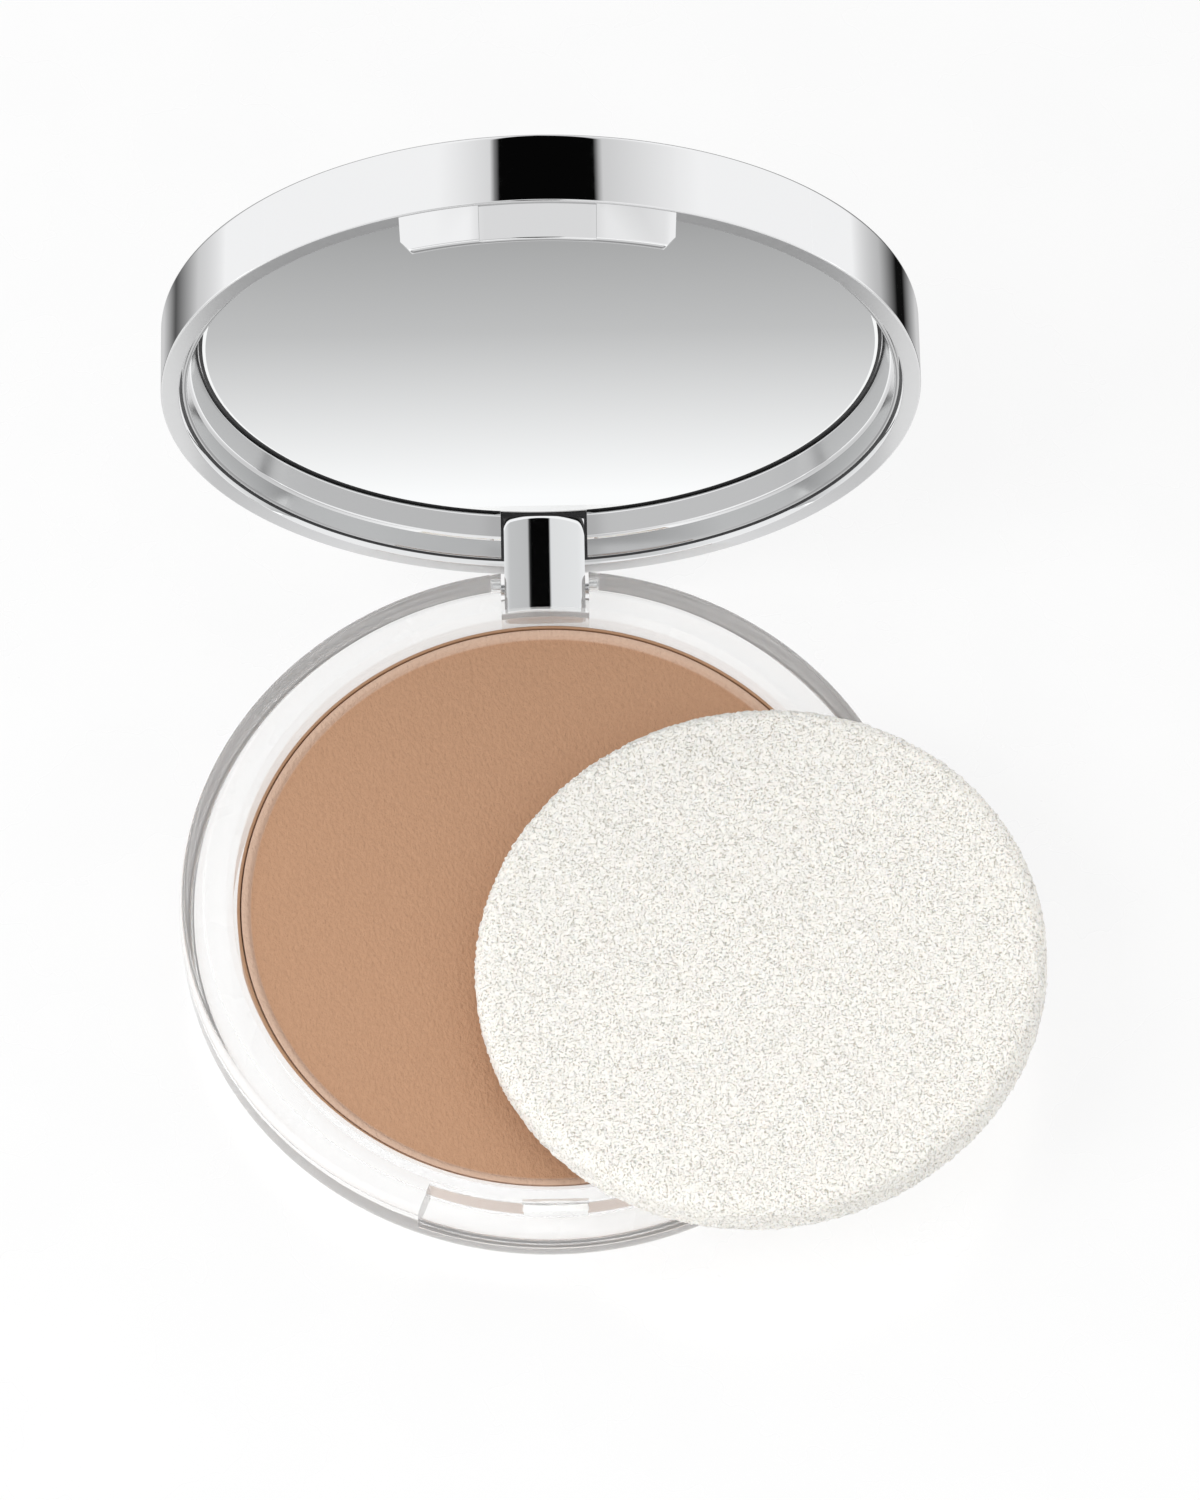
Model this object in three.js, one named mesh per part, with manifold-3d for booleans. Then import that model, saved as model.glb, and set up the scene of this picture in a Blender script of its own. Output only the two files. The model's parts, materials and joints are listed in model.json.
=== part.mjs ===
// A round powder compact, in millimetres, +Z up. The origin is the centre of the underside,
// the hinge is at +Y and the catch at -Y. The lid stands open at a right angle to the base,
// and a foam sponge lies half on the powder and half on the rim of the base.
import * as THREE from "three";
import { mergeVertices } from "three/addons/utils/BufferGeometryUtils.js";
import Module from "manifold-3d";

const wasm = await Module();
wasm.setup();

// ---- driving dimensions ----------------------------------------------------------------
const GAP = 0.3; // clearance round a piece that moves or that sits in a cut
const SEAT = 0.1; // clearance under a piece that lies flat on its neighbour
const ROUND = 72; // facets round the large turned pieces

const BASE = { radius: 35.7, height: 8, bottomRound: 3.8, topRound: 0.8 };
const WELL = { radius: 30.5, floor: 1.6, bevel: 0.7 };
const PAN = { radius: 30.2, wall: 0.3, floor: 0.4, top: 6 };
const POWDER = { fieldRadius: 29, fieldTop: 5.45, ringRise: 0.45 };
const ADHESIVE = { radius: 24, thickness: 0.2 };
const LABEL = { radius: 24, thickness: 0.2, recess: 0.3 }; // flush with the underside
const NOTCH = { inner: 32.5, halfAngle: 21.4, depth: 3.5 }; // room for the lid's latch
const CLIP = { width: 6.1, height: 1.4, top: 7.15, front: 33, back: 32 };

const LID = { radius: 36, rimInner: 34.26, depth: 7.25, topRound: 0.6, ceiling: 5.95 };
const FRAME = { outer: 33.96, inner: 32.5, low: 0.6, crease: 2.6, mirrorLip: 4.6 };
const MIRROR = { radius: 32.2, face: 4.85, thickness: 0.7 };
const LATCH = { halfAngle: 20.8, centreAngle: 8.7, length: 3.4, reach: 1.65, recess: 0.25, inset: 0.3 };
const HINGE = { y: 34.3, below: 2.5, pinRadius: 0.55, boreRadius: 0.8 };
const TONGUE = { width: 7.9, slot: 8.6, top: 4.7, half: 1.4, pastPin: 3.1, corner: 0.5 };
const PIN_LENGTH = 10.4;

const SPONGE = { radius: 27.25, thickness: 5.4, round: 1.7 };
const SPONGE_AT = { x: 20.15, y: -9.95, z: 8.72, towards: -26.5, tilt: 5.5 }; // angles in degrees

// the lid's rim hangs just above the base when closed; the hinge axis lies below that rim
const rimClosed = BASE.height + GAP;
const hingeZ = rimClosed - HINGE.below;
const deg = THREE.MathUtils.degToRad;

// ---- shapes ----------------------------------------------------------------------------
// Points of an arc, for profiles: centre, radius, from one angle to another, in degrees.
function arc(x, y, radius, from, to, steps) {
  return Array.from({ length: steps + 1 }, (_, i) => {
    const a = deg(from + ((to - from) * i) / steps);
    return [x + radius * Math.cos(a), y + radius * Math.sin(a)];
  });
}

// A profile of [radius, height] points turned about Z.
function turned(profile, segments = ROUND) {
  const points = profile.map(([r, z]) => new THREE.Vector2(r, z));
  const closed = profile[0][0] > 0;
  if (closed) points.push(points[0].clone());
  return new THREE.LatheGeometry(points, segments).rotateX(Math.PI / 2);
}

// A flat disc between two heights.
const disc = (radius, low, high, segments = ROUND) =>
  turned([[0, low], [radius, low], [radius, high], [0, high]], segments);

// A block given by its two corners.
function block(low, high) {
  const size = low.map((v, i) => high[i] - v);
  const centre = low.map((v, i) => (v + high[i]) / 2);
  return new THREE.BoxGeometry(...size).translate(...centre);
}

// Part of a ring on the -Y side, between two angles from -Y, in degrees.
function ringSector(inner, outer, from, to, low, high) {
  const steps = Math.ceil((to - from) / 5);
  const outline = [
    ...arc(0, 0, outer, from - 90, to - 90, steps),
    ...arc(0, 0, inner, to - 90, from - 90, steps),
  ].map(([x, y]) => new THREE.Vector2(x, y));
  const options = { depth: high - low, bevelEnabled: false };
  return new THREE.ExtrudeGeometry(new THREE.Shape(outline), options).translate(0, 0, low);
}

// A rod along X.
const rod = (radius, length, y, z) =>
  new THREE.CylinderGeometry(radius, radius, length, 20).rotateZ(Math.PI / 2).translate(0, y, z);

// ---- joining and cutting ---------------------------------------------------------------
function toSolid(geometry) {
  const bare = geometry.clone();
  bare.deleteAttribute("normal");
  bare.deleteAttribute("uv");
  const merged = mergeVertices(bare, 1e-4);
  const vertProperties = new Float32Array(merged.attributes.position.array);
  const triVerts = new Uint32Array(merged.index.array);
  return new wasm.Manifold(new wasm.Mesh({ numProp: 3, vertProperties, triVerts }));
}

function toGeometry(solid) {
  const { vertProperties, triVerts } = solid.getMesh();
  const geometry = new THREE.BufferGeometry();
  geometry.setAttribute("position", new THREE.BufferAttribute(vertProperties, 3));
  geometry.setIndex(new THREE.BufferAttribute(triVerts, 1));
  geometry.computeVertexNormals();
  return geometry;
}

// One shape, joined with some others and then cut by the rest.
function carve(shape, { join = [], cut = [] }) {
  const joined = join.reduce((solid, g) => solid.add(toSolid(g)), toSolid(shape));
  return toGeometry(cut.reduce((solid, g) => solid.subtract(toSolid(g)), joined));
}

function piece(name, geometry, color, roughness, metalness) {
  const material = new THREE.MeshStandardMaterial({ color, roughness, metalness });
  const mesh = new THREE.Mesh(geometry, material);
  mesh.name = name;
  return mesh;
}

// ---- base ------------------------------------------------------------------------------
// Thick clear body: a flat top ring with a slot for the hinge, a notch for the latch and a
// well for the pan. Its lower edge is a broad round, and its underside has a label recess.
function baseShell() {
  const { radius, height, bottomRound, topRound } = BASE;
  const profile = [
    [0, LABEL.recess],
    [LABEL.radius + 0.5, LABEL.recess],
    [LABEL.radius + 1, 0],
    ...arc(radius - bottomRound, bottomRound, bottomRound, -90, 0, 5),
    ...arc(radius - topRound, height - topRound, topRound, 0, 90, 3),
    [WELL.radius + WELL.bevel, height],
    [WELL.radius, height - WELL.bevel],
    [WELL.radius, WELL.floor],
    [0, WELL.floor],
  ];
  const above = height + 2;
  const beyond = radius + 2;
  const { inner, halfAngle, depth } = NOTCH;
  const latchRoom = ringSector(inner, beyond, -halfAngle, halfAngle, height - depth, above);
  const slotHalf = TONGUE.slot / 2;
  // the tongue's corners sweep round the pin as the lid turns
  const { half: tongueHalf, pastPin, corner } = TONGUE;
  const sweep = Math.hypot(pastPin - corner, tongueHalf - corner) + corner;
  const slotReach = sweep + 2 * SEAT;
  const hingeSlot = block(
    [-slotHalf, HINGE.y - slotReach, hingeZ - slotReach],
    [slotHalf, beyond, above],
  );
  const bore = rod(HINGE.boreRadius, PIN_LENGTH + GAP, HINGE.y, hingeZ);
  const clipHalf = CLIP.width / 2 + SEAT;
  const pocket = block(
    [-clipHalf, -CLIP.front, CLIP.top - CLIP.height - SEAT],
    [clipHalf, SEAT - CLIP.back, CLIP.top + SEAT],
  );
  return carve(turned(profile), { cut: [latchRoom, hingeSlot, bore, pocket] });
}

// Small snap catch set in the notch's inner wall.
function catchClip() {
  const half = CLIP.width / 2;
  return block([-half, -CLIP.front, CLIP.top - CLIP.height], [half, -CLIP.back, CLIP.top]);
}

const adhesiveLow = WELL.floor + SEAT;
const panLow = adhesiveLow + ADHESIVE.thickness + SEAT;

// Thin pressed pan that holds the powder.
function powderPan() {
  const inner = PAN.radius - PAN.wall;
  const panFloor = panLow + PAN.floor;
  return turned([
    [0, panLow], [PAN.radius, panLow], [PAN.radius, PAN.top],
    [inner, PAN.top], [inner, panFloor], [0, panFloor],
  ]);
}

// Pressed powder: a flat field inside a raised sloping ring.
function powderCake() {
  const outer = PAN.radius - PAN.wall - SEAT;
  const low = panLow + PAN.floor + SEAT;
  const { fieldRadius, fieldTop, ringRise } = POWDER;
  return turned([
    [0, low], [outer, low], [outer, fieldTop + ringRise], [fieldRadius, fieldTop], [0, fieldTop],
  ]);
}

// ---- lid, as it lies when closed, with its rim at height 0 -----------------------------------
// Chromed cap with the latch on its front rim and the hinge tongue on its back rim.
function lidCap() {
  const { radius, rimInner, depth, topRound, ceiling } = LID;
  const shell = turned([
    [0, ceiling], [rimInner, ceiling], [rimInner, 0], [radius, 0],
    ...arc(radius - topRound, depth - topRound, topRound, 0, 90, 3),
    [0, depth],
  ]);
  const { halfAngle, centreAngle, length, reach, recess, inset } = LATCH;
  const bite = 0.5; // how far the latch reaches up into the rim
  const outer = radius - inset;
  const inner = radius - reach;
  // the three blocks overlap a little, so that they join into one
  const overlap = 0.05;
  const edge = centreAngle - overlap;
  const sides = [[-halfAngle, -edge], [edge, halfAngle]]
    .map(([from, to]) => ringSector(inner, outer, from, to, -length, bite));
  const centre = ringSector(
    inner + overlap, outer - recess, -centreAngle, centreAngle, overlap - length, bite + overlap,
  );
  const { y, below, boreRadius } = HINGE;
  const { half, pastPin, corner, top } = TONGUE;
  const tip = -below - pastPin;
  const side = new THREE.Shape([
    [y + half, top], [y - half, top],
    ...arc(y - half + corner, tip + corner, corner, 180, 270, 4),
    ...arc(y + half - corner, tip + corner, corner, 270, 360, 4),
  ].map(([u, v]) => new THREE.Vector2(u, v)));
  // the section is drawn in Y and Z, then turned so that its thickness runs along X
  const tongue = new THREE.ExtrudeGeometry(side, { depth: TONGUE.width, bevelEnabled: false })
    .rotateX(Math.PI / 2)
    .rotateZ(Math.PI / 2)
    .translate(-TONGUE.width / 2, 0, 0);
  const bore = rod(boreRadius, TONGUE.width + 2, y, -below);
  return carve(shell, { join: [...sides, centre, tongue], cut: [bore] });
}

// Two-step ring that frames the mirror, open where the hinge tongue passes.
function lidInnerFrame() {
  const { outer, inner, low, crease, mirrorLip } = FRAME;
  const step = (outer + inner) / 2;
  const ring = turned([
    [outer - GAP, low], [outer, low], [outer, LID.ceiling - SEAT], [inner, LID.ceiling - SEAT],
    [inner, mirrorLip], [step - SEAT, crease], [step + SEAT, crease - 0.2],
  ]);
  const gapHalf = TONGUE.width / 2 + GAP;
  const room = block([-gapHalf, HINGE.y - 5, -1], [gapHalf, HINGE.y + 5, LID.depth]);
  return carve(ring, { cut: [room] });
}

const mirrorBack = MIRROR.face + MIRROR.thickness;

// ---- sponge ------------------------------------------------------------------------------
// Round foam pad with soft edges, lying on its own z = 0.
function spongePad() {
  const { radius, thickness, round } = SPONGE;
  return turned([
    [0, 0],
    ...arc(radius - round, round, round, -90, 0, 3),
    ...arc(radius - round, thickness - round, round, 0, 90, 3),
    [0, thickness],
  ], 56);
}

// ---- assembly ------------------------------------------------------------------------------
const group = new THREE.Group();

const hingePin = rod(HINGE.pinRadius, PIN_LENGTH, HINGE.y, hingeZ);
group.add(
  piece("base_shell", baseShell(), 0xf2f3f3, 0.05, 0),
  piece("base_label", disc(LABEL.radius, 0, LABEL.thickness, 48), 0xe6e6e4, 0.5, 0),
  piece("catch_clip", catchClip(), 0xf6f6f4, 0.3, 0),
  piece("hinge_pin", hingePin, 0xc9cbcd, 0.25, 1),
  piece("pan_adhesive", disc(ADHESIVE.radius, adhesiveLow, adhesiveLow + ADHESIVE.thickness, 48),
    0xf4f2ea, 0.6, 0),
  piece("powder_pan", powderPan(), 0xb9bbbd, 0.3, 1),
  piece("powder_cake", powderCake(), 0xcb9f7d, 0.85, 0),
);

// The closed lid is turned back about the hinge axis to its open position.
const closedLid = new THREE.Group();
closedLid.position.set(0, -HINGE.y, HINGE.below);
const adhesiveBack = mirrorBack + SEAT;
closedLid.add(
  piece("lid_cap", lidCap(), 0xd6d8da, 0.08, 1),
  piece("lid_inner_frame", lidInnerFrame(), 0xd6d8da, 0.12, 1),
  piece("mirror_glass", disc(MIRROR.radius, MIRROR.face, mirrorBack), 0xd9dcde, 0.02, 1),
  piece("mirror_adhesive",
    disc(MIRROR.radius - 3, adhesiveBack, adhesiveBack + ADHESIVE.thickness, 48), 0xf4f2ea, 0.6, 0),
);
const lid = new THREE.Group();
lid.position.set(0, HINGE.y, hingeZ);
lid.rotation.x = -Math.PI / 2;
lid.add(closedLid);
group.add(lid);

// The sponge tilts up towards the outside, where it crosses the rim of the base.
const sponge = piece("sponge", spongePad(), 0xf3f1e9, 0.95, 0);
sponge.position.set(SPONGE_AT.x, SPONGE_AT.y, SPONGE_AT.z);
const heading = deg(SPONGE_AT.towards);
const tiltAxis = new THREE.Vector3(Math.sin(heading), -Math.cos(heading), 0);
sponge.quaternion.setFromAxisAngle(tiltAxis, deg(SPONGE_AT.tilt));
group.add(sponge);

export default group;
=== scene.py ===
"""A powder compact: fine meshes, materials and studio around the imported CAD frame."""
import bpy, bmesh, json, math
from math import cos, sin, radians, hypot
from mathutils import Matrix, Vector, noise


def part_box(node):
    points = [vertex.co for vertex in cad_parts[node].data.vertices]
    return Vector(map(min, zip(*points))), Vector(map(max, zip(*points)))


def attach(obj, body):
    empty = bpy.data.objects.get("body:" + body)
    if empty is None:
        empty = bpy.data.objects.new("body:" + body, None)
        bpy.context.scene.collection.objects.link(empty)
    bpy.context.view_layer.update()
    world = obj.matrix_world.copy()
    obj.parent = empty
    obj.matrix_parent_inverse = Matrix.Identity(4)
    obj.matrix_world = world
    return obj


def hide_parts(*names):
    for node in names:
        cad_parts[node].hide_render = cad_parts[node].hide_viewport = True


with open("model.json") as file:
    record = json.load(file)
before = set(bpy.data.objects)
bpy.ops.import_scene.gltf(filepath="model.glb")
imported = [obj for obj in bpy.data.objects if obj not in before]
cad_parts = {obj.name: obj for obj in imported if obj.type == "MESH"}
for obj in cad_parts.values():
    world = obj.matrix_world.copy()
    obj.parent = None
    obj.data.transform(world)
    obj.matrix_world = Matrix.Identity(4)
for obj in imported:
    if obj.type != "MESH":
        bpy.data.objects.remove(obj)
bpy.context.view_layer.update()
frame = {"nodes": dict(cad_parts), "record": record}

MM = 0.001
FINE = 288  # segments round the large turned pieces

# ---- sizes, in millimetres: the frame's boxes, then the details that boxes don't give -----------
base_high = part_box("base_shell")[1] / MM
lid_low, lid_high = (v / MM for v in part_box("lid_cap"))
pan_low, pan_high = (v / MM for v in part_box("powder_pan"))
cake_low, cake_high = (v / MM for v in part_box("powder_cake"))
mirror_low, mirror_high = (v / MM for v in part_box("mirror_glass"))
clip_low, clip_high = (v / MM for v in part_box("catch_clip"))
pin_low, pin_high = (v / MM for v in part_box("hinge_pin"))
label_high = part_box("base_label")[1] / MM
hinge = Vector(frame["record"]["behaviour"]["joints"][0]["pos_m"]) / MM

BASE_R, BASE_H = base_high.x, base_high.z
LID_R = (lid_high.x - lid_low.x) / 2
LID_DEPTH = 7.25  # from the rim plane to the cap's outside
RIM_Y = lid_high.y - LID_DEPTH  # the lid's rim plane, when it stands open
RIM_BELOW = RIM_Y - hinge.y  # from the hinge axis to the rim plane
LID_Z = (lid_high.z + lid_low.z) / 2  # the lid's axis, when it stands open

WELL_R, WELL_FLOOR, WELL_BEVEL = 30.5, 1.6, 0.7
BOTTOM_ROUND, TOP_ROUND = 3.8, 0.8
LEDGE_R, LEDGE_DROP = 33.3, 0.22  # a low step in the base's top ring
LABEL_RECESS = 0.3
NOTCH_R, NOTCH_HALF, NOTCH_FLOOR = 32.5, 21.4, BASE_H - 3.5  # NOTCH_HALF is in degrees
BORE_R = 0.8
SLOT_REACH = 3.451  # room round the hinge axis for the tongue's end
SLOT_HALF, SLOT_FLOOR, SLOT_R = 4.3, hinge.z - SLOT_REACH, hinge.y - SLOT_REACH
RIM_INNER = 34.26
LATCH_HALF, LATCH_CENTRE = 20.8, 8.7  # half angles of the latch and its centre block, in degrees
LATCH_LENGTH = 3.4
LATCH_REACH, LATCH_INSET, LATCH_RECESS, LATCH_TAPER = 1.65, 0.28, 0.22, 0.36
TONGUE_HALF_WIDTH, TONGUE_HALF, TONGUE_PAST, TONGUE_CORNER = 3.95, 1.4, 3.1, 0.5
FIELD_R, FIELD_Z = 29.0, 5.45  # the powder's flat field

SPONGE_R, SPONGE_T, SPONGE_ROUND, FOAM_GRID = 27.25, 5.4, 1.7, 0.19
SPONGE_AT = Vector((20.15, -9.95, 8.72))  # the middle of its underside
SPONGE_HEADING, SPONGE_TILT = -26.5, 5.5  # degrees

# the closed lid's own frame: rim plane at z = 0, cap upwards, latch at -Y
LID = Matrix.Translation((0, RIM_Y, LID_Z)) @ Matrix.Rotation(radians(-90), 4, "X")


# ---- mesh helpers ----------------------------------------------------------------------------
def arc(x, y, radius, start, end, steps):
    """Points of an arc in a profile, angles in degrees."""
    turns = [radians(start + (end - start) * i / steps) for i in range(steps + 1)]
    return [(x + radius * cos(a), y + radius * sin(a)) for a in turns]


def to_object(name, bm, place=None, sharp=35):
    """A mesh object in metres from a bmesh in millimetres, smooth but for its sharp edges."""
    bmesh.ops.remove_doubles(bm, verts=bm.verts, dist=1e-4)
    bmesh.ops.dissolve_degenerate(bm, edges=bm.edges, dist=1e-5)
    bmesh.ops.recalc_face_normals(bm, faces=bm.faces)
    bmesh.ops.transform(bm, matrix=Matrix.Scale(MM, 4) @ (place or Matrix()), verts=bm.verts)
    mesh = bpy.data.meshes.new(name)
    bm.to_mesh(mesh)
    bm.free()
    mesh.shade_smooth()
    mesh.set_sharp_from_angle(angle=radians(sharp))
    piece = bpy.data.objects.new(name, mesh)
    bpy.context.collection.objects.link(piece)
    return piece


def join_columns(bm, column, after, spans):
    """Quads between two columns of vertices."""
    for j in range(spans):
        k = (j + 1) % len(column)
        bm.faces.new((column[j], after[j], after[k], column[k]))


def loft(columns):
    """A bmesh of quads between neighbouring columns of points; the last column meets the first."""
    bm = bmesh.new()
    grid = [[bm.verts.new(p) for p in column] for column in columns]
    for i, column in enumerate(grid):
        join_columns(bm, column, grid[(i + 1) % len(grid)], len(column) - 1)
    return bm


def capped_loft(sections):
    """A bmesh through a row of closed sections, with a face on each end."""
    bm = bmesh.new()
    grid = [[bm.verts.new(p) for p in section] for section in sections]
    for section, after in zip(grid, grid[1:]):
        join_columns(bm, section, after, len(section))
    bm.faces.new(grid[0])
    bm.faces.new(list(reversed(grid[-1])))
    return bm


def turned(profile, segments=FINE):
    """A profile of (radius, height) turned about Z."""
    columns = []
    for i in range(segments):
        a = 2 * math.pi * i / segments
        columns.append([(r * cos(a), r * sin(a), z) for r, z in profile])
    return loft(columns)


def soft_edges(piece, width, angle=40, segments=2):
    """Rounds the sharp edges of a piece by a small width, in millimetres."""
    bevel = piece.modifiers.new("edges", "BEVEL")
    bevel.width = width * MM
    bevel.segments = segments
    bevel.limit_method = "ANGLE"
    bevel.angle_limit = radians(angle)
    bevel.use_clamp_overlap = True
    bevel.harden_normals = False
    return piece


def true_faces(piece):
    """Keeps wide faces flat beside their small rounds, so reflections in them run straight."""
    weighted = piece.modifiers.new("true_faces", "WEIGHTED_NORMAL")
    weighted.keep_sharp = True
    weighted.weight = 100
    return piece


def block(name, low, high, edge=0.08):
    """A box between two corners, with its edges rounded off by a little."""
    bm = bmesh.new()
    bmesh.ops.create_cube(bm, size=1)
    low, high = Vector(low), Vector(high)
    for v in bm.verts:
        v.co = Vector((low[i] + (high[i] - low[i]) * (v.co[i] + 0.5) for i in range(3)))
    bmesh.ops.bevel(bm, geom=bm.edges, offset=edge, segments=2, affect="EDGES", profile=0.5)
    return to_object(name, bm)


def apply_modifiers(piece):
    """Bakes a piece's modifiers into its mesh."""
    graph = bpy.context.evaluated_depsgraph_get()
    mesh = bpy.data.meshes.new_from_object(piece.evaluated_get(graph))
    piece.modifiers.clear()
    old, piece.data = piece.data, mesh
    bpy.data.meshes.remove(old)


def combine(piece, operation, *tools):
    """Cuts the tools out of a piece, or joins them to it, and removes them."""
    for tool in tools:
        boolean = piece.modifiers.new("boolean", "BOOLEAN")
        boolean.operation = operation
        boolean.solver = "EXACT"
        boolean.object = tool
    apply_modifiers(piece)
    for tool in tools:
        bpy.data.objects.remove(tool)
    return piece


def rod(name, radius, length, y, z, segments=64, edge=0.12):
    """A rod along X with softened ends."""
    half = length / 2
    profile = [(0, -half), (radius - edge, -half), (radius, -half + edge),
               (radius, half - edge), (radius - edge, half), (0, half)]
    place = Matrix.Translation((0, y, z)) @ Matrix.Rotation(radians(90), 4, "Y")
    return to_object(name, turned(profile, segments), place)


# ---- materials ---------------------------------------------------------------------------------
def material(name, **values):
    """A node material with a Principled shader; values are set on the shader's own sockets."""
    mat = bpy.data.materials.new(name)
    mat.use_nodes = True
    shader = mat.node_tree.nodes["Principled BSDF"]
    for socket, value in values.items():
        shader.inputs[socket.replace("_", " ")].default_value = value
    return mat, mat.node_tree, shader


def noise_node(tree, scale, detail=3, roughness=0.5, stretch=(1, 1, 1), turn=0):
    """Noise in real space: scale is in bumps per metre, and a stretch below 1 lengthens them."""
    coords = tree.nodes.new("ShaderNodeTexCoord")
    mapping = tree.nodes.new("ShaderNodeMapping")
    mapping.inputs["Scale"].default_value = stretch
    mapping.inputs["Rotation"].default_value = (0, 0, radians(turn))
    texture = tree.nodes.new("ShaderNodeTexNoise")
    texture.inputs["Scale"].default_value = scale
    texture.inputs["Detail"].default_value = detail
    texture.inputs["Roughness"].default_value = roughness
    tree.links.new(coords.outputs["Object"], mapping.inputs["Vector"])
    tree.links.new(mapping.outputs["Vector"], texture.inputs["Vector"])
    return texture.outputs["Fac"]


def grey(level):
    """The scene-linear colour of a displayed grey level, seen in the chrome."""
    value = ((level / 255 + 0.055) / 1.055) ** 2.4 / 0.93
    return (value, value, value * 1.005)


def ranged(tree, value, low, high, start=0.0, end=1.0):
    """Maps a value from start..end to low..high, and keeps it in that range."""
    node = tree.nodes.new("ShaderNodeMapRange")
    node.inputs["From Min"].default_value = start
    node.inputs["From Max"].default_value = end
    node.inputs["To Min"].default_value = low
    node.inputs["To Max"].default_value = high
    tree.links.new(value, node.inputs["Value"])
    return node.outputs["Result"]


def from_axis(tree):
    """Distance from the base's axis, as a fraction of the powder's radius."""
    coords = tree.nodes.new("ShaderNodeTexCoord")
    flat = tree.nodes.new("ShaderNodeVectorMath")
    flat.operation = "MULTIPLY"
    flat.inputs[1].default_value = (1, 1, 0)
    length = tree.nodes.new("ShaderNodeVectorMath")
    length.operation = "LENGTH"
    tree.links.new(coords.outputs["Object"], flat.inputs[0])
    tree.links.new(flat.outputs["Vector"], length.inputs[0])
    return ranged(tree, length.outputs["Value"], 0, 1, 0, cake_high.x * MM)


def colours(tree, value, stops):
    """Colour by a value, from (position, (r, g, b)) stops."""
    ramp = tree.nodes.new("ShaderNodeValToRGB")
    elements = ramp.color_ramp.elements
    while len(elements) < len(stops):
        elements.new(0.5)
    for element, (position, colour) in zip(elements, stops):
        element.position = position
        element.color = (*colour, 1)
    tree.links.new(value, ramp.inputs["Fac"])
    return ramp.outputs["Color"]


def greys(low, high, *levels):
    """Ramp stops from (place, grey level) pairs, with the places running from low to high."""
    return [((place - low) / (high - low), grey(level)) for place, level in levels]


def blend(tree, fraction, first, second):
    """Mixes two colours; each is an output or a plain (r, g, b)."""
    node = tree.nodes.new("ShaderNodeMix")
    node.data_type = "RGBA"
    tree.links.new(fraction, node.inputs[0])
    for socket, colour in ((node.inputs[6], first), (node.inputs[7], second)):
        if isinstance(colour, tuple):
            socket.default_value = (*colour, 1)
        else:
            tree.links.new(colour, socket)
    return node.outputs[2]


def math_node(tree, operation, first, second):
    """The named operation on two outputs."""
    node = tree.nodes.new("ShaderNodeMath")
    node.operation = operation
    tree.links.new(first, node.inputs[0])
    tree.links.new(second, node.inputs[1])
    return node.outputs["Value"]


def place_along(tree, axis):
    """The place along one axis of the frame, in metres."""
    coords = tree.nodes.new("ShaderNodeTexCoord")
    split = tree.nodes.new("ShaderNodeSeparateXYZ")
    tree.links.new(coords.outputs["Object"], split.inputs["Vector"])
    return split.outputs[axis]


def bump(tree, shader, height, distance, strength=1.0, under=None):
    """Adds relief to a shader; distance is in millimetres."""
    node = tree.nodes.new("ShaderNodeBump")
    node.inputs["Distance"].default_value = distance * MM
    node.inputs["Strength"].default_value = strength
    tree.links.new(height, node.inputs["Height"])
    if under is not None:
        tree.links.new(under, node.inputs["Normal"])
    tree.links.new(node.outputs["Normal"], shader.inputs["Normal"])
    return node.outputs["Normal"]


def fine_gloss(name, roughness, spread, scale=900, **values):
    """A smooth finish whose roughness varies a little, as handling leaves it."""
    mat, tree, shader = material(name, **values)
    wear = noise_node(tree, scale, 4)
    tree.links.new(ranged(tree, wear, roughness, roughness + spread, 0.35, 0.65),
                   shader.inputs["Roughness"])
    return mat, tree, shader


def clear_plastic():
    mat, tree, shader = fine_gloss("clear_plastic", 0.0, 0.02, Transmission_Weight=0.84, IOR=1.46)
    shader.inputs["Base Color"].default_value = (0.985, 0.99, 0.99, 1)
    return mat


def chrome(name, roughness, tone=0.93):
    mat, tree, shader = fine_gloss(name, roughness, 0.02, Metallic=1.0)
    shader.inputs["Base Color"].default_value = (tone, tone * 1.004, tone * 1.008, 1)
    bump(tree, shader, noise_node(tree, 400, 2), 0.0006)
    return mat


def mirror():
    mat, _, shader = fine_gloss("mirror_silver", 0.0, 0.004, Metallic=1.0)
    shader.inputs["Base Color"].default_value = (0.94, 0.95, 0.95, 1)
    return mat


def powder():
    mat, tree, shader = material("pressed_powder", Roughness=0.75)
    shader.inputs["Specular IOR Level"].default_value = 0.25
    shader.inputs["Sheen Weight"].default_value = 0.12
    speckle = noise_node(tree, 3000, 4, 0.6)
    tone = colours(tree, speckle, [(0.3, (0.465, 0.262, 0.155)), (0.7, (0.505, 0.29, 0.175))])
    rim = from_axis(tree)
    # painted highlight: the raised ring is coloured lighter for the light its slope catches
    ring_painted_light = colours(tree, speckle, [(0.3, (0.59, 0.405, 0.3)), (0.7, (0.63, 0.44, 0.33))])
    shade = blend(tree, ranged(tree, rim, 0, 1, 0.966, 0.974), tone, ring_painted_light)
    tree.links.new(shade, shader.inputs["Base Color"])
    creases = noise_node(tree, 2700, 3, 0.6, stretch=(1, 0.65, 1), turn=38)
    grains = noise_node(tree, 8000, 3, 0.6)
    first = bump(tree, shader, creases, 0.22, 0.9)
    bump(tree, shader, grains, 0.03, 0.6, under=first)
    return mat


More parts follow.
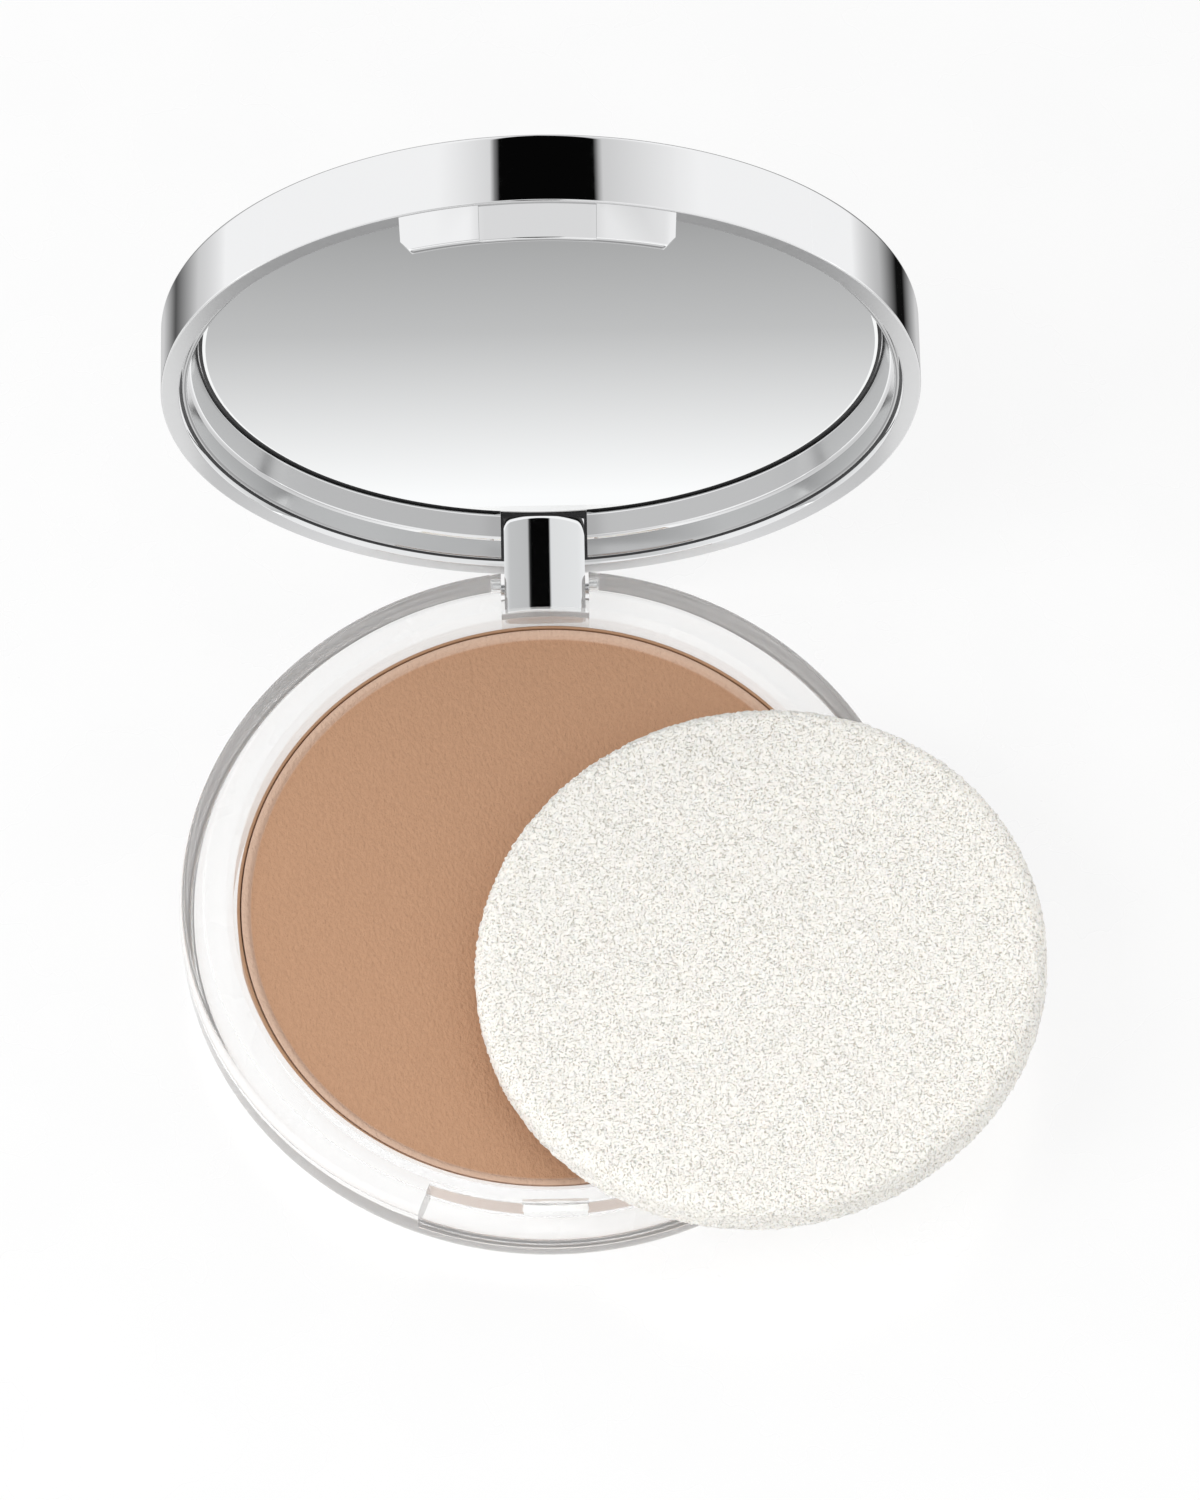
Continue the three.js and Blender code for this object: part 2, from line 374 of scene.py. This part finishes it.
def foam():
    mat, tree, shader = material("foam", Roughness=0.95)
    shader.inputs["Specular IOR Level"].default_value = 0.2
    shader.inputs["Subsurface Weight"].default_value = 0.25
    shader.inputs["Subsurface Radius"].default_value = (0.0012, 0.001, 0.0008)
    shader.inputs["Subsurface Scale"].default_value = 1.0
    pores = noise_node(tree, 5200, 3, 0.6)
    # painted shade: the pits of the pores are coloured darker, where the bump below sinks them
    tree.links.new(colours(tree, pores, [(0.3, (0.66, 0.63, 0.54)), (0.4, (0.85, 0.83, 0.77)),
                                         (0.5, (0.9, 0.88, 0.83)), (0.7, (0.92, 0.9, 0.85))]),
                   shader.inputs["Base Color"])
    relief = bump(tree, shader, ranged(tree, pores, 0, 1, 0.3, 0.45), 0.16, 0.9)
    bump(tree, shader, noise_node(tree, 8000, 2), 0.03, 0.5, under=relief)
    return mat


def satin_metal(name, colour, roughness, metallic=1.0):
    mat, tree, shader = fine_gloss(name, roughness, 0.12, 2500, Metallic=metallic)
    shader.inputs["Base Color"].default_value = (*colour, 1)
    return mat


def plain(name, colour, roughness, grain):
    mat, tree, shader = fine_gloss(name, roughness, 0.1, 1500)
    shader.inputs["Base Color"].default_value = (*colour, 1)
    bump(tree, shader, noise_node(tree, 5000, 3), grain)
    return mat


# ---- pieces ------------------------------------------------------------------------------------
def dress(piece, mat, body, slot, *nodes, extra=()):
    """Gives a piece its material and body; the slot argument is not used. Each extra material goes where
    its test says.

    A test is given a face's distance from the lid's axis and its depth behind the rim plane, in
    millimetres, and how far it faces the viewer of the open lid."""
    piece.data.materials.clear()
    piece.data.materials.append(mat)
    for index, (other, test) in enumerate(extra, 1):
        piece.data.materials.append(other)
        for face in piece.data.polygons:
            at = face.center / MM
            if test(hypot(at.x, at.z - LID_Z), at.y - RIM_Y, -face.normal.y):
                face.material_index = index
    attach(piece, body)
    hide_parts(*nodes)
    return piece


def base_profile(state):
    """The base's (radius, height) profile; state is plain, notch or slot."""
    lower = [
        (0, LABEL_RECESS), (label_high.x + 0.4, LABEL_RECESS), (label_high.x + 0.5, 0.1),
        (label_high.x + 0.7, 0),
        *arc(BASE_R - BOTTOM_ROUND, BOTTOM_ROUND, BOTTOM_ROUND, -90, 0, 14),
    ]
    inner = [
        (WELL_R + WELL_BEVEL, BASE_H), (WELL_R + 0.1, BASE_H - WELL_BEVEL + 0.08),
        (WELL_R, BASE_H - WELL_BEVEL - 0.1), (WELL_R, WELL_FLOOR + 0.3),
        (WELL_R - 0.3, WELL_FLOOR), (0, WELL_FLOOR),
    ]
    if state == "plain":
        ledge = BASE_H - LEDGE_DROP  # where the closed lid's rim comes down
        edge = arc(BASE_R - TOP_ROUND, ledge - TOP_ROUND, TOP_ROUND, 0, 90, 8)
        edge += [(LEDGE_R + 0.16, ledge), (LEDGE_R + 0.06, ledge + 0.05),
                 (LEDGE_R + 0.02, BASE_H - 0.05), (LEDGE_R - 0.08, BASE_H)]
        return lower + edge + inner
    wall, floor = (NOTCH_R, NOTCH_FLOOR) if state == "notch" else (SLOT_R, SLOT_FLOOR)
    # clip the lower round at the cut's floor, run along that floor and up the cut's inner wall
    reach = BASE_R
    if floor < BOTTOM_ROUND:
        reach += math.sqrt(BOTTOM_ROUND ** 2 - (BOTTOM_ROUND - floor) ** 2) - BOTTOM_ROUND
    lower = [(r, z) if z < floor - 0.2 else (reach - 0.02, floor - 0.2) for r, z in lower]
    edge = [(reach - 0.01, floor - 0.15), (reach - 0.06, floor - 0.05), (reach - 0.18, floor)]
    edge += [(wall + 0.12, floor), (wall + 0.04, floor + 0.04), (wall, floor + 0.12)]
    rise = BASE_H - floor
    edge += [(wall, floor + rise * part) for part in (0.2, 0.4, 0.6, 0.8)]
    edge += [(wall, BASE_H - 0.15), (wall - 0.05, BASE_H - 0.04), (wall - 0.2, BASE_H)]
    return lower + edge + inner


def base_shell():
    """Clear body: each column has the profile of the cut it lies in, so the cuts stay clean."""
    columns = []

    def column(angle, state, fixed_x=None):
        points = []
        for r, z in base_profile(state):
            a = radians(angle)
            if fixed_x is not None and r > WELL_R - 1:
                a = math.acos(fixed_x / r)
            points.append((r * cos(a), r * sin(a), z))
        columns.append(points)

    slot_angle = math.degrees(math.asin(SLOT_HALF / BASE_R))
    slot_edge = slot_angle + 1.6  # the inner wall of the slot spans a wider angle
    notch_start, notch_end = -90 - NOTCH_HALF, -90 + NOTCH_HALF
    step = 1.25
    # from just after the slot, round the left and the front, and back to the slot
    angle = 90 + slot_edge
    while angle < 360 + notch_start - 0.2:
        column(angle, "plain")
        angle += step
    column(360 + notch_start, "plain")
    count = 34
    for i in range(count + 1):
        column(360 + notch_start + (notch_end - notch_start) * i / count, "notch")
    column(360 + notch_end, "plain")
    angle = 360 + notch_end + step
    while angle < 450 - slot_edge - 0.2:
        column(angle, "plain")
        angle += step
    column(450 - slot_angle, "plain", SLOT_HALF)
    across = 14
    for i in range(across + 1):
        x = SLOT_HALF * (1 - 2 * i / across)
        column(450 - math.degrees(math.asin(x / BASE_R)), "slot", x)
    column(450 + slot_angle, "plain", -SLOT_HALF)
    shell = to_object("base_shell_clear", loft(columns), sharp=30)
    bore = rod("cutter", BORE_R, pin_high.x - pin_low.x + 0.3, hinge.y, hinge.z)
    room_below, room_above = Vector((0.1, 0.2, 0.1)), Vector((0.1, 0.1, 0.1))
    pocket = block("pocket", clip_low - room_below, clip_high + room_above, 0.02)
    combine(shell, "DIFFERENCE", bore, pocket)
    shell.data.set_sharp_from_angle(angle=radians(30))
    return true_faces(soft_edges(shell, 0.09, 45))


def powder_cake():
    """The flat field inside its raised, sloping ring, with slight waves from the press."""
    outer = cake_high.x
    top = cake_high.z
    rings = 70
    field = [(FIELD_R * (rings - i) / rings, FIELD_Z) for i in range(1, rings + 1)]
    profile = [
        (0, cake_low.z), (outer - 0.2, cake_low.z), (outer, cake_low.z + 0.2), (outer, top - 0.1),
        (outer - 0.05, top - 0.02), (outer - 0.15, top), (FIELD_R + 0.3, top - 0.1),
        (FIELD_R + 0.12, top - 0.2), (FIELD_R + 0.02, FIELD_Z + 0.06), (FIELD_R - 0.06, FIELD_Z), *field,
    ]
    bm = turned(profile, FINE)
    bmesh.ops.remove_doubles(bm, verts=bm.verts, dist=1e-4)
    for v in bm.verts:
        inside = min(1, max(0, (FIELD_R - hypot(v.co.x, v.co.y)) / 1.5))
        if v.co.z > FIELD_Z - 0.2 and inside > 0:
            wave = noise.noise(Vector((v.co.x, v.co.y, 3.1)) * 0.12) * 0.05
            fine = noise.noise(Vector((v.co.x, v.co.y, 9.7)) * 1.3) * 0.008
            v.co.z += (wave + fine) * inside
    return to_object("powder_cake_pressed", bm)


def powder_pan():
    wall = 0.3
    inner = pan_high.x - wall
    floor = pan_low.z + 0.4
    profile = [
        (0, pan_low.z), *arc(pan_high.x - 0.8, pan_low.z + 0.8, 0.8, -90, 0, 8),
        *arc(pan_high.x - wall / 2, pan_high.z - wall / 2, wall / 2, 0, 180, 8),
        (inner, floor + 0.3), (inner - 0.3, floor), (0, floor),
    ]
    return to_object("powder_pan_pressed", turned(profile))


def lid_profile(state):
    """The cap's profile in the closed lid's frame; latch states reach below the rim plane."""
    ceiling = 5.95
    crown = arc(LID_R - 0.6, LID_DEPTH - 0.6, 0.6, 0, 90, 8)
    inside = [(0, ceiling), (RIM_INNER - 0.3, ceiling), (RIM_INNER, ceiling - 0.3), (RIM_INNER, 0.55)]
    edge, soft = 0.16, 0.1
    inner = LID_R - LATCH_REACH
    if state == "rim":
        lower = [
            (RIM_INNER, soft), (RIM_INNER + 0.02, 0.02), (RIM_INNER + 0.05, 0), (inner, 0),
            (inner + 0.1, 0), (inner + 0.2, 0), (inner + 0.3, 0), (inner + 0.4, 0), (inner + 0.5, 0),
            (LID_R - LATCH_INSET - LATCH_RECESS, 0), (LID_R - edge - 0.02, 0), (LID_R - edge, 0),
            (LID_R - edge * 0.3, edge * 0.3), (LID_R, edge),
        ]
    else:
        tip = -LATCH_LENGTH
        root = LID_R - LATCH_INSET - (LATCH_RECESS if state == "latch_centre" else 0)
        outer = root - LATCH_TAPER
        lower = [
            (RIM_INNER, soft), (RIM_INNER + 0.02, 0.02), (RIM_INNER + 0.05, 0), (inner, -0.02),
            (inner, tip + 0.2), (inner + 0.06, tip + 0.06), (inner + 0.2, tip),
            (outer - 0.12, tip), (outer - 0.04, tip + 0.04), (outer, tip + 0.14),
            (root, 0), (LID_R - edge, 0),
            (LID_R - edge * 0.3, edge * 0.3), (LID_R, edge),
        ]
    return inside + lower + crown + [(0, LID_DEPTH)]


def lid_cap():
    """Chromed cap with its three-part latch; the hinge tongue is joined in afterwards."""
    columns = []

    def column(angle, state, shorten=0.0):
        a = radians(angle - 90)
        points = []
        for r, z in lid_profile(state):
            if z < -LATCH_LENGTH + shorten:
                z = -LATCH_LENGTH + shorten
            points.append((r * cos(a), r * sin(a), z))
        columns.append(points)

    count = 26
    chamfer, chamfer_angle = 1.0, 1.4  # at the latch's two ends, in millimetres and degrees
    marks = [
        (-LATCH_HALF, -LATCH_CENTRE, "latch_side"),
        (-LATCH_CENTRE, LATCH_CENTRE, "latch_centre"),
        (LATCH_CENTRE, LATCH_HALF, "latch_side"),
    ]
    column(-LATCH_HALF, "rim")
    for start, end, state in marks:
        for i in range(count + 1):
            angle = start + (end - start) * i / count
            from_end = LATCH_HALF - abs(angle)
            shorten = max(0, 1 - from_end / chamfer_angle) * chamfer
            column(angle, state, shorten)
    column(LATCH_HALF, "rim")
    rest = 240
    for i in range(1, rest):
        column(LATCH_HALF + (360 - 2 * LATCH_HALF) * i / rest, "rim")
    cap = to_object("lid_cap_chrome", loft(columns), LID, sharp=30)
    combine(cap, "UNION", hinge_tongue())
    cap.data.set_sharp_from_angle(angle=radians(50))
    return true_faces(cap)


def hinge_tongue():
    """The tongue on the back rim: a slightly crowned inner face and a rounded end with a bore."""
    y, low = hinge.y, -RIM_BELOW - TONGUE_PAST
    crown, half, wide = 0.5, TONGUE_HALF, TONGUE_HALF_WIDTH
    top, lean, round_end, proud = 4.7, 0.5, 0.16, 0.45
    across = 24
    sections = []
    for i in range(across + 1):
        x = wide * (2 * i / across - 1)
        bulge = crown * ((x + lean) / wide) ** 2  # the inner face falls back towards its sides
        end = abs(x) > wide - 1e-6
        shrink = 0.1 if end else 0
        front, back = y - half - proud + bulge + shrink, y + half - shrink
        tip = low + shrink
        section = [(back, top), (front, top)]
        section += arc(front + round_end, tip + round_end, round_end, 180, 270, 6)
        section += arc(back - TONGUE_CORNER, tip + TONGUE_CORNER, TONGUE_CORNER, 270, 360, 6)
        sections.append([(x, u, v) for u, v in section])
    tongue = to_object("tongue", capped_loft(sections), LID)
    return combine(tongue, "DIFFERENCE", rod("bore", BORE_R, 2 * wide + 2, hinge.y, hinge.z))


# which faces get another material: see dress() for what each test is given
def is_rim_face(r, depth, facing):
    """The cap's flat rim, which faces the viewer."""
    return facing > 0.9 and r > RIM_INNER and -0.1 < depth < 0.1


def is_inside_painted_shade(r, depth, facing):
    """The cap's inside behind the inner frame, made near-black as painted shade in the narrow gap round
    the frame.
    """
    return 29 < r < RIM_INNER + 0.02 and 0.6 < depth < 6.2


def is_frame_edge(r, depth, facing):
    """The polished crease and lip of the inner frame."""
    return 2.3 < depth < 2.7 or 4.5 < depth < 4.72


def is_mirror_paint_and_gap_shade(r, depth, facing):
    """The mirror's back and edge, black as the mirror's own back paint, and the step that shows in the
    gap round it, whose black is painted shade in that gap.
    """
    return facing < 0.5 or r > mirror_high.x - 0.1


def lid_inner_frame():
    """Two-step ring round the mirror, open where the tongue passes."""
    outer, inner, low, crease, lip = 33.96, 32.5, 0.6, 2.5, 4.6
    step = (outer + inner) / 2
    profile = [
        (outer - 0.3, low + 0.02), (outer - 0.12, low), (outer - 0.03, low + 0.06), (outer, low + 0.2),
        (outer, 5.7), (outer - 0.15, 5.85), (inner + 0.1, 5.85), (inner, 5.7),
        (inner, lip + 0.1), (inner + 0.05, lip),
        (step - 0.12, crease + 0.18), (step - 0.06, crease + 0.06), (step + 0.06, crease - 0.02),
        (step + 0.2, crease - 0.12), (outer - 0.45, low + 0.15),
    ]
    half_gap = TONGUE_HALF_WIDTH + 0.3
    start = math.degrees(math.asin(half_gap / inner))
    count = 300
    columns = []
    for i in range(count + 1):
        a = radians(90 + start + (360 - 2 * start) * i / count)
        column = []
        for r, z in profile:
            angle = a
            if i in (0, count):
                angle = math.acos((-half_gap if i == 0 else half_gap) / r)
            column.append((r * cos(angle), r * sin(angle), z))
        columns.append(column)
    return true_faces(to_object("lid_inner_frame_chrome", capped_loft(columns), LID, sharp=50))


def mirror_glass():
    """The mirror: a silvered face with a bevelled edge, on a slightly wider black step: the mirror's
    back paint, and painted shade where it shows in the gap round the mirror.
    """
    face = mirror_low.y - RIM_Y
    back = mirror_high.y - RIM_Y
    gap, step = 0.12, 0.36
    radius = (mirror_high.x - mirror_low.x) / 2 - gap
    profile = [(0, face), (radius - 0.3, face), (radius - 0.28, face + 0.01),
               (radius - 0.12, face + 0.1), (radius, face + 0.14), (radius, face + 0.3),
               (radius + step, face + 0.3), (radius + step, back), (0, back)]
    return true_faces(to_object("mirror_silvered", turned(profile), LID, sharp=60))


def sponge_pad():
    """Round foam pad: an even, dense skin, dented all over by small pores."""
    r, t, round_edge = SPONGE_R, SPONGE_T, SPONGE_ROUND
    flat = r - round_edge
    profile = [(0, 0), *arc(flat, round_edge, round_edge, -90, 0, 12),
               *arc(flat, t - round_edge, round_edge, 0, 90, 12), (0, t)]
    pad = to_object("sponge_foam", turned(profile, 240), sharp=180)
    even = pad.modifiers.new("even", "REMESH")
    even.mode = "VOXEL"
    even.voxel_size = FOAM_GRID * MM
    apply_modifiers(pad)
    bm = bmesh.new()
    bm.from_mesh(pad.data)
    bm.normal_update()
    moves = [v.normal * foam_relief(v.co / MM) * MM for v in bm.verts]
    for v, move in zip(bm.verts, moves):
        v.co += move
    heading = radians(SPONGE_HEADING)
    lift = Matrix.Rotation(radians(SPONGE_TILT), 4, Vector((sin(heading), -cos(heading), 0)))
    bmesh.ops.transform(bm, matrix=Matrix.Translation(SPONGE_AT * MM) @ lift, verts=bm.verts)
    bm.to_mesh(pad.data)
    bm.free()
    pad.data.shade_smooth()
    return pad


def foam_relief(at):
    """How far the foam's skin stands out at a point, in millimetres: open pores and slow lumps."""
    cells = noise.noise(at * 2.2) + 0.7 * noise.noise(at * 4.3)
    pores = max(0.0, noise.noise(at * 2.6 + Vector((7, 3, 5))) - 0.12)
    lumps = noise.noise(at * 0.3)
    return 0.17 * cells - 0.1 * pores + 0.04 * lumps - 0.03


def label_disc():
    r = label_high.x
    profile = [(0, 0), (r - 0.05, 0), (r, 0.05), (r, label_high.z), (0, label_high.z)]
    return to_object("base_label_blank", turned(profile, 160))


lid_chrome = chrome("lid_chrome", 0.015)
shell = dress(base_shell(), clear_plastic(), "base", "clear_plastic", "base_shell")
shell.visible_shadow = False  # light passes through the clear body to the floor and the pan
shell.visible_diffuse = False
dress(label_disc(), plain("label_paper", (0.84, 0.84, 0.83), 0.45, 0.01), "base", "label", "base_label")
dress(block("catch_clip_white", clip_low, clip_high, 0.1),
      plain("catch_plastic", (0.9, 0.9, 0.89), 0.25, 0.003), "base", "catch_plastic", "catch_clip")
dress(rod("hinge_pin_steel", pin_high.y - hinge.y, pin_high.x - pin_low.x, hinge.y, hinge.z),
      satin_metal("pin_steel", (0.75, 0.76, 0.77), 0.2), "base", "pin_steel", "hinge_pin")
dress(powder_pan(), satin_metal("pan_metal", (0.46, 0.27, 0.16), 0.42, 0.4),
      "base", "pan_metal", "powder_pan")
dress(powder_cake(), powder(), "base", "powder", "powder_cake")
rim_chrome = chrome("rim_chrome", 0.3, 0.72)
# painted shade: the cap's inside is near-black so the gap round the inner frame reads dark
inside = plain("lid_inside_painted_shade", (0.03, 0.03, 0.032), 0.5, 0.002)
cap = dress(lid_cap(), lid_chrome, "lid", "lid_chrome", "lid_cap",
            extra=((rim_chrome, is_rim_face), (inside, is_inside_painted_shade)))
ring = dress(lid_inner_frame(), chrome("frame_chrome", 0.12, 0.55), "lid", "frame_chrome",
             "lid_inner_frame", extra=((chrome("frame_edges", 0.03), is_frame_edge),))
# black back paint on the mirror; on the step in the gap round the mirror the black is painted shade
black_paint_and_gap_shade = plain("mirror_backing", (0.01, 0.01, 0.011), 0.4, 0.002)
dress(mirror_glass(), mirror(), "lid", "mirror", "mirror_glass", extra=((black_paint_and_gap_shade, is_mirror_paint_and_gap_shade),))
for piece in (cap, ring):
    piece.visible_glossy = False  # the mirror shows the soft fade alone, down to its lower edge
dress(sponge_pad(), foam(), "sponge", "foam", "sponge")
tape = plain("adhesive_foam", (0.86, 0.85, 0.8), 0.7, 0.02)
for node in ("pan_adhesive", "mirror_adhesive"):
    frame["nodes"][node].data.materials.clear()
    frame["nodes"][node].data.materials.append(tape)


# ---- studio ------------------------------------------------------------------------------------
def stage_card(name, corners, mat, glossy_only=True):
    bm = bmesh.new()
    bm.faces.new([bm.verts.new(Vector(c) * MM) for c in corners])
    mesh = bpy.data.meshes.new(name)
    bm.to_mesh(mesh)
    bm.free()
    card = bpy.data.objects.new(name, mesh)
    bpy.context.collection.objects.link(card)
    mesh.materials.append(mat)
    if glossy_only:
        card.visible_camera = card.visible_diffuse = card.visible_transmission = False
        card.visible_shadow = False
    return card


def sheet(x0, x1, y0, y1, z0, z1=None):
    """Corners of a rectangle over these ranges, from height z0 at the front to z1 at the back."""
    back = z0 if z1 is None else z1
    return [(x0, y0, z0), (x1, y0, z0), (x1, y1, back), (x0, y1, back)]


def floor():
    mat, tree, shader = fine_gloss("floor_white", 0.25, 0.05, 60)
    shader.inputs["Base Color"].default_value = (0.16, 0.16, 0.16, 1)
    shader.inputs["Emission Color"].default_value = (1, 1, 1, 1)
    shader.inputs["Emission Strength"].default_value = 0.79
    shader.inputs["IOR"].default_value = 1.9
    far, below = 4000, -0.02
    stage_card("floor", sheet(-far, far, -far, far, below), mat, glossy_only=False)


def emission(name, strength):
    mat = bpy.data.materials.new(name)
    mat.use_nodes = True
    tree = mat.node_tree
    tree.nodes.clear()
    light = tree.nodes.new("ShaderNodeEmission")
    light.inputs["Strength"].default_value = strength
    clear = tree.nodes.new("ShaderNodeBsdfTransparent")
    side = tree.nodes.new("ShaderNodeNewGeometry")
    mix = tree.nodes.new("ShaderNodeMixShader")
    out = tree.nodes.new("ShaderNodeOutputMaterial")
    tree.links.new(side.outputs["Backfacing"], mix.inputs["Fac"])
    tree.links.new(light.outputs["Emission"], mix.inputs[1])
    tree.links.new(clear.outputs["BSDF"], mix.inputs[2])
    tree.links.new(mix.outputs["Shader"], out.inputs["Surface"])
    return mat, tree, light


def graded(name, axis, low, high, *levels):
    """A light whose grey level changes along an axis; places are in millimetres."""
    mat, tree, light = emission(name, 1.0)
    along = ranged(tree, place_along(tree, axis), 0, 1, low * MM, high * MM)
    tree.links.new(colours(tree, along, greys(low, high, *levels)), light.inputs["Color"])
    return mat


def mirror_card():
    """A graded card over the base that only reflections see: the mirror shows its soft fade."""
    mat = graded("mirror_fade", "Y", -80, 40, (-80, 220), (-10, 200), (4, 120), (25, 190), (40, 250))
    front, fold, back = -70, 17, 41  # level up to the fold, then down to the mirror's lower edge
    high, low = 18, 8.3
    side, far = 33.6, 90
    stage_card("mirror_card", sheet(-side, side, front, fold, high), mat)
    stage_card("mirror_ramp", sheet(-side, side, fold, back, high, low), mat)
    plain_mat, _, _ = emission("rim_fill", 1.0)
    stage_card("rim_card_left", sheet(-far, -side, front, back, high), plain_mat)
    stage_card("rim_card_right", sheet(side, far, front, back, high), plain_mat)


CARD_LIFT, CARD_FAR, CARD_NEAR = 0.3, 3900, 40  # cards that lie just over the floor


def side_cards():
    """Graded cards on the floor that only the chrome sees: they shade the cap's sides."""
    # a soft dark stripe on the left and a deeper one on the right, 70 mm and more from the middle
    mat = graded("side_fade", "X", -200, 200, (-200, 240), (-110, 200), (-70, 80), (-50, 200),
                 (50, 200), (70, 15), (80, 15), (110, 180), (200, 240))
    front = -60
    stage_card("side_card_left", sheet(-CARD_FAR, -CARD_NEAR, front, CARD_FAR, CARD_LIFT), mat)
    stage_card("side_card_right", sheet(CARD_NEAR, CARD_FAR, front, CARD_FAR, CARD_LIFT), mat)


def back_card():
    """A graded card on the floor behind, which gives the back of the open lid a soft fade."""
    mat = graded("back_fade", "Y", 50, 350, (50, 240), (100, 210), (200, 180), (350, 200))
    front = 48
    stage_card("back_card", sheet(-CARD_NEAR, CARD_NEAR, front, CARD_FAR, CARD_LIFT), mat)


def direction_lean(tree, split, axis):
    """How far a direction leans from straight overhead towards an axis, in radians."""
    return math_node(tree, "ARCTAN2", split.outputs[axis], split.outputs["Z"])


def seen_in_chrome(tree, split):
    """What reflections see: white, with one dark band overhead from front to back.

    A soft white window straight overhead breaks the band, and in front the band is narrow.
    Places are the lean of the direction to the right, in degrees."""
    turn = ranged(tree, direction_lean(tree, split, "X"), 0, 1, -math.pi, math.pi)
    bands = colours(tree, turn, greys(-180, 180, (-180, 220), (-140, 200), (-90, 240), (-30, 240),
                                      (-13, 210), (-12.5, 5), (18, 5), (18.5, 200), (50, 240),
                                      (90, 240), (140, 200), (180, 220)))
    window = colours(tree, turn, greys(-180, 180, (-180, 240), (-20, 240), (-16, 215), (16, 215),
                                       (20, 230), (180, 240)))
    narrow = colours(tree, turn, greys(-180, 180, (-180, 225), (-60, 240), (-30, 200), (-7.5, 190),
                                       (-7, 5), (7.5, 5), (8, 225), (60, 240), (180, 225)))
    back = direction_lean(tree, split, "Y")
    start, end = 19, 21  # degrees over which one part fades into the next
    behind = ranged(tree, back, 0, 1, radians(start), radians(end))
    before = ranged(tree, back, 0, 1, radians(-start), radians(-end))
    return blend(tree, before, blend(tree, behind, window, bands), narrow)


def sky():
    """Surroundings that differ by ray: banded for gloss, even white for light, and for what is
    seen through the clear body a grey that pales with height."""
    world = bpy.data.worlds.new("studio")
    bpy.context.scene.world = world
    world.use_nodes = True
    tree = world.node_tree
    coords = tree.nodes.new("ShaderNodeTexCoord")
    split = tree.nodes.new("ShaderNodeSeparateXYZ")
    tree.links.new(coords.outputs["Generated"], split.inputs["Vector"])
    path = tree.nodes.new("ShaderNodeLightPath")
    through = path.outputs["Is Transmission Ray"]
    clear = colours(tree, split.outputs["Z"], [(0.0, (0.36, 0.36, 0.35)), (0.35, (0.7, 0.7, 0.69)),
                                               (0.75, (0.97, 0.97, 0.97))])
    white = (0.97, 0.97, 0.97)
    even = blend(tree, through, white, clear)
    not_gloss = math_node(tree, "MAXIMUM", path.outputs["Is Diffuse Ray"], through)
    colour = blend(tree, not_gloss, seen_in_chrome(tree, split), even)
    tree.links.new(colour, tree.nodes["Background"].inputs["Color"])


def lamp(name, size, strength, place, aim=(0, 0, 20)):
    data = bpy.data.lights.new(name, "AREA")
    data.shape = "DISK"
    data.size = size * MM
    data.energy = strength
    light = bpy.data.objects.new(name, data)
    light.location = Vector(place) * MM
    light.rotation_euler = (Vector(aim) - Vector(place)).to_track_quat("-Z", "Y").to_euler()
    light.visible_glossy = light.visible_transmission = False
    bpy.context.collection.objects.link(light)


def camera():
    """A long lens, high in front of the compact; angles are from the front, in degrees."""
    distance, elevation, azimuth, roll = 800, radians(62.903), radians(-0.619), radians(-0.488)
    target = Vector((4.895, 0, 38.02))
    toward = Vector((sin(azimuth) * cos(elevation), -cos(azimuth) * cos(elevation), sin(elevation)))
    across = (-toward).cross(Vector((0, 0, 1))).normalized()
    above = across.cross(-toward)
    right = cos(roll) * across + sin(roll) * above
    up = cos(roll) * above - sin(roll) * across
    turn = Matrix((right, up, toward)).transposed().to_4x4()
    data = bpy.data.cameras.new("camera")
    data.sensor_width = 36
    data.lens = 206.45
    data.clip_start, data.clip_end = 0.05, 20
    view = bpy.data.objects.new("camera", data)
    view.matrix_world = Matrix.Translation((target + toward * distance) * MM) @ turn
    bpy.context.collection.objects.link(view)
    bpy.context.scene.camera = view


floor()
mirror_card()
side_cards()
back_card()
sky()
lamp("key_left", 500, 2.4, (-520, -200, 600))
camera()
bpy.context.scene.view_settings.view_transform = "Standard"
